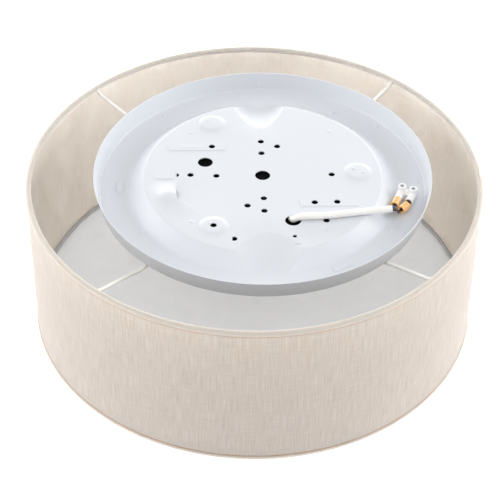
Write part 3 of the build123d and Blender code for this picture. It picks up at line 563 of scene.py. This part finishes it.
def copies_on_circle(tree, piece, count, radius, first_angle, level):
    """Nodes that set copies of a piece round a circle, each turned to face outwards."""
    points = add_node(tree, "GeometryNodePoints", Count=count)
    number = add_node(tree, "GeometryNodeInputIndex")
    step = add_node(tree, "ShaderNodeMath", {"operation": "DIVIDE"}, in0=2 * pi, in1=count)
    turn = add_node(tree, "ShaderNodeMath", {"operation": "MULTIPLY_ADD"},
                    in0=number.outputs[0], in1=step.outputs[0], in2=first_angle)
    facing = add_node(tree, "ShaderNodeCombineXYZ", Z=turn.outputs[0])
    copies = add_node(tree, "GeometryNodeInstanceOnPoints", Points=points.outputs[0], Instance=piece,
                      Rotation=facing.outputs[0])
    place = add_node(tree, "ShaderNodeCombineXYZ", X=radius, Z=level)
    moved = add_node(tree, "GeometryNodeTranslateInstances", Instances=copies.outputs[0],
                     Translation=place.outputs[0])
    return moved.outputs[0]


chip_length, chip_width, chip_height = 0.0035, 0.0028, 0.0007
chip_rings = {"Inner": (16, 0.0500), "Outer": (24, 0.0680)}      # how many LEDs, and how far out


def chip_mesh():
    """One LED: a white housing whose rim stands round a sunk phosphor window."""
    body = bmesh.new()
    bmesh.ops.create_cube(body, size=1.0)
    bmesh.ops.scale(body, vec=(chip_length, chip_width, chip_height), verts=body.verts)
    bmesh.ops.translate(body, vec=(0, 0, -chip_height / 2), verts=body.verts)
    upright_edges = [edge for edge in body.edges if abs(edge.verts[0].co.z - edge.verts[1].co.z) > 1e-5]
    bmesh.ops.bevel(body, geom=upright_edges, offset=0.0003, segments=2, affect="EDGES")
    window = [face for face in body.faces if face.normal.z < -0.9]
    bmesh.ops.inset_region(body, faces=window, thickness=0.0004, depth=0.0)
    bmesh.ops.translate(body, vec=(0, 0, 0.0002), verts=[v for face in window for v in face.verts])
    mesh = bpy.data.meshes.new("led_chip")
    body.to_mesh(mesh)
    body.free()
    return mesh


# moulded PPA, and silicone filled with phosphor powder, which looks egg yellow when off
chip_housing, tree, shader = new_material("ppa_moulded_white", "efeee9", roughness=0.45)
tinted(tree, shader, grain(tree, shader, size=0.0004, strength=0.1), "e9e8e2", "f2f1ed")
chip_phosphor, tree, shader = new_material("silicone_phosphor_yellow", "e8c25a", roughness=0.3)
tinted(tree, shader, grain(tree, shader, size=0.0003, strength=0.2), "dfb649", "efcd6c")
chip_tree = bpy.data.node_groups.new("leds_on_rings", "GeometryNodeTree")
interface_input(chip_tree, "Chip", "NodeSocketGeometry")
for name, kind in (("Inner count", "NodeSocketInt"), ("Inner radius", "NodeSocketFloat"),
                   ("Outer count", "NodeSocketInt"), ("Outer radius", "NodeSocketFloat"),
                   ("Inner turn", "NodeSocketFloat"), ("Outer turn", "NodeSocketFloat"),
                   ("Level", "NodeSocketFloat"), ("Housing", "NodeSocketMaterial"),
                   ("Phosphor", "NodeSocketMaterial")):
    interface_input(chip_tree, name, kind)
chip_tree.interface.new_socket("Chips", in_out="OUTPUT", socket_type="NodeSocketGeometry")
given = add_node(chip_tree, "NodeGroupInput").outputs
rings = add_node(chip_tree, "GeometryNodeJoinGeometry")
for ring in ("Inner", "Outer"):
    copies = copies_on_circle(chip_tree, given["Chip"], given[f"{ring} count"], given[f"{ring} radius"],
                              given[f"{ring} turn"], given["Level"])
    chip_tree.links.new(copies, rings.inputs[0])
real = add_node(chip_tree, "GeometryNodeRealizeInstances", Geometry=rings.outputs[0])
housed = add_node(chip_tree, "GeometryNodeSetMaterial", Geometry=real.outputs["Geometry"],
                  Material=given["Housing"])
normal = add_node(chip_tree, "GeometryNodeInputNormal")
facing = add_node(chip_tree, "ShaderNodeSeparateXYZ", in0=normal.outputs[0])
middle = add_node(chip_tree, "FunctionNodeCompare", {"operation": "LESS_THAN"},
                  in0=facing.outputs["Z"], in1=-0.99)
filled = add_node(chip_tree, "GeometryNodeSetMaterial", Geometry=housed.outputs["Geometry"],
                  Selection=middle.outputs[0], Material=given["Phosphor"])
add_node(chip_tree, "NodeGroupOutput", in0=filled.outputs["Geometry"])
chip_values = {"Level": board_underside, "Housing": chip_housing, "Phosphor": chip_phosphor}
for ring, (count, radius) in chip_rings.items():
    half_step = pi / count
    chip_values.update({f"{ring} count": count, f"{ring} radius": radius, f"{ring} turn": half_step})
chips = made_mesh("led_chips_on_board", chip_mesh(), chip_tree, chip_values)
stands_for(chips, "led_chips", "ceiling_base")

# ---- driver and supply block --------------------------------------------------------------
# The LED driver's tray and lid hang under the middle of the board. The block where the cable
# ends stands on top of the board, beside the cable hole. All three are moulded in white ABS.

for node_name, piece_name in (
        ("driver_case", "driver_tray"), ("driver_lid", "driver_top"), ("supply_inlet", "inlet_block")):
    case = smooth_copy(node_name, piece_name, white_abs)
    stands_for(case, node_name, "ceiling_base")

# ---- light cover --------------------------------------------------------------------------
# A deep drawn cap of opal polycarbonate over the board and the driver. Four cross head screws
# go through its flange into the standoffs.

# opal polycarbonate: milky and satin, with flow marks about 8 mm wide
opal_cover, tree, shader = new_material("polycarbonate_opal_satin", "eceded", roughness=0.38)
tinted(tree, shader, grain(tree, shader, size=0.008, strength=0.06), "e8eaea", "f0f1f1")
shader.inputs["Subsurface Weight"].default_value = 0.5
shader.inputs["Subsurface Scale"].default_value = 0.003
shader.inputs["Subsurface Radius"].default_value = (1.0, 1.0, 1.0)
cover = smooth_copy("light_cover", "opal_cap", opal_cover)
stands_for(cover, "light_cover", "ceiling_base")

screw_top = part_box("cover_screws")[1].z
screw_count, screw_circle, screw_length = 4, 0.0837, 0.0070
screw_profile = [      # radius, height over the head's underside, depth of its cross shape
    (0.0000, -0.0009, 0.0), (0.0007, -0.0009, 0.6), (0.0012, -0.0021, 0.6), (0.0013, -0.0022, 0.0),
    (0.0019, -0.0020, 0.0), (0.0025, -0.0013, 0.0), (0.00274, -0.0005, 0.0), (0.00274, 0.0, 0.0),
    (0.0015, 0.0, 0.0), (0.0015, 0.0064, 0.0), (0.0012, screw_length, 0.0), (0.0000, screw_length, 0.0),
]


def screw_mesh():
    """One pan head screw with its cross recess, standing head down."""
    body = bmesh.new()
    around = 32
    rows = []
    for radius, height, star in screw_profile:
        if radius == 0:
            rows.append([body.verts.new((0, 0, height))])
            continue
        rows.append([])
        for step in range(around):
            angle = 2 * pi * step / around
            reach = radius * (1 - star * (0.5 - 0.5 * cos(4 * angle)))
            rows[-1].append(body.verts.new((reach * cos(angle), reach * sin(angle), height)))
    for lower, upper in zip(rows, rows[1:]):
        for step in range(around):
            following = (step + 1) % around
            corners = [lower[step % len(lower)], lower[following % len(lower)],
                       upper[following % len(upper)], upper[step % len(upper)]]
            body.faces.new(list(dict.fromkeys(corners)))
    bmesh.ops.recalc_face_normals(body, faces=body.faces)
    mesh = bpy.data.meshes.new("cover_screw")
    body.to_mesh(mesh)
    body.free()
    return mesh


screw_tree = bpy.data.node_groups.new("screws_round_the_cover", "GeometryNodeTree")
interface_input(screw_tree, "Screw", "NodeSocketGeometry")
for name, kind in (("Count", "NodeSocketInt"), ("Radius", "NodeSocketFloat"), ("Turn", "NodeSocketFloat"),
                   ("Level", "NodeSocketFloat"), ("Steel", "NodeSocketMaterial")):
    interface_input(screw_tree, name, kind)
screw_tree.interface.new_socket("Screws", in_out="OUTPUT", socket_type="NodeSocketGeometry")
given = add_node(screw_tree, "NodeGroupInput").outputs
copies = copies_on_circle(screw_tree, given["Screw"], given["Count"], given["Radius"], given["Turn"],
                          given["Level"])
real = add_node(screw_tree, "GeometryNodeRealizeInstances", Geometry=copies)
plated = add_node(screw_tree, "GeometryNodeSetMaterial", Geometry=real.outputs["Geometry"],
                  Material=given["Steel"])
add_node(screw_tree, "NodeGroupOutput", in0=plated.outputs["Geometry"])
screws = made_mesh("cross_head_screws", screw_mesh(), screw_tree, {
    "Count": screw_count, "Radius": screw_circle, "Turn": pi / screw_count,
    "Level": screw_top - screw_length, "Steel": bright_zinc})
mark_creases(screws.data, crease=35)
stands_for(screws, "cover_screws", "ceiling_base")

# ---- diffuser -----------------------------------------------------------------------------
# A flat tray of opal acrylic, vacuum formed with a low upright edge. It lies loose in the drum,
# closes it, and can be lifted inside it.

# opal acrylic: matt on the side that meets the eye, even and faintly cool
opal_acrylic, tree, shader = new_material("acrylic_opal_matt", "e9ebec", roughness=0.5)
tinted(tree, shader, grain(tree, shader, size=0.012, strength=0.01), "f0f1f2", "f3f4f5")
shader.inputs["Subsurface Weight"].default_value = 1.0
shader.inputs["Subsurface Scale"].default_value = 0.008
shader.inputs["Subsurface Radius"].default_value = (1.0, 1.0, 1.0)
tray = smooth_copy("diffuser", "diffuser_tray", opal_acrylic)
stands_for(tray, "diffuser", "diffuser")
